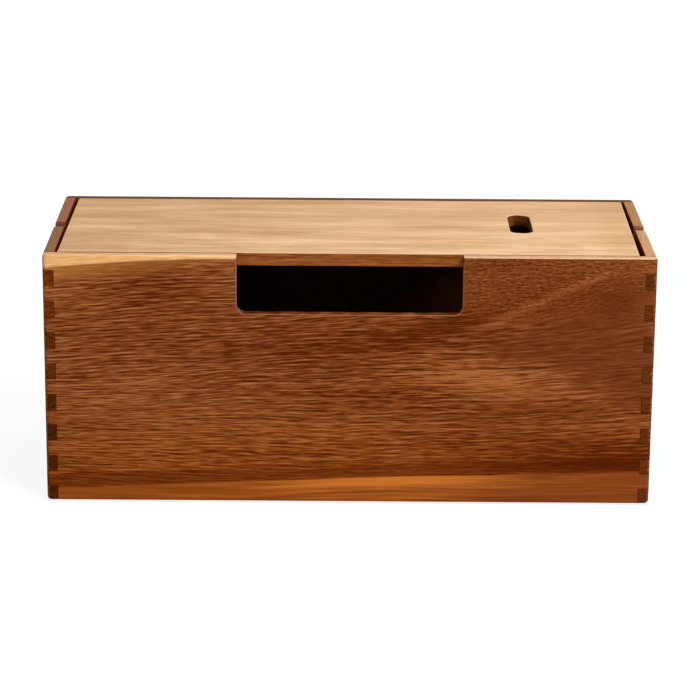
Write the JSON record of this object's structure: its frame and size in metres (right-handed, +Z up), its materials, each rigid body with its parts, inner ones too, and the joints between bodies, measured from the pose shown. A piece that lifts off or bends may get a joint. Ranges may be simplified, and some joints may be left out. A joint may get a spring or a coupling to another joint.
{
  "type": "cable management box",
  "caption": "Finger-jointed wooden box with a loose lift-off lid, a wide cable notch in the front wall, a narrow cable slot in each side wall and a round-ended grip slot in the lid.",
  "frame": {"origin": "under the middle of the box, on the surface its four feet stand on", "axes": "+X to the right along the long side, seen from the front; -Y is the front, with the wide notch; +Z up"},
  "size_m": [0.38, 0.16, 0.1615],
  "materials": {
    "wall_wood": "reddish brown hardwood with fine wavy figure, sanded and oiled to a satin sheen",
    "lid_wood": "pale straight-grained hardwood, sanded and oiled to a satin sheen",
    "inner_wood": "plain hardwood, sanded, without oil",
    "foot_rubber": "matt soft rubber"
  },
  "bodies": {
    "box": {"front_panel": "wall_wood", "rear_panel": "wall_wood", "left_panel": "wall_wood", "right_panel": "wall_wood", "bottom_panel": "inner_wood", "corner_block_front_left": "inner_wood", "corner_block_front_right": "inner_wood", "corner_block_rear_left": "inner_wood", "corner_block_rear_right": "inner_wood", "foot_front_left": "foot_rubber", "foot_front_right": "foot_rubber", "foot_rear_left": "foot_rubber", "foot_rear_right": "foot_rubber"},
    "lid": {"lid": "lid_wood"}
  },
  "joints": [
    {"name": "lid_lift", "type": "slide", "parent": "box", "child": "lid", "axis": [0, 0, 1], "range_m": [0, 0.2]}
  ]
}
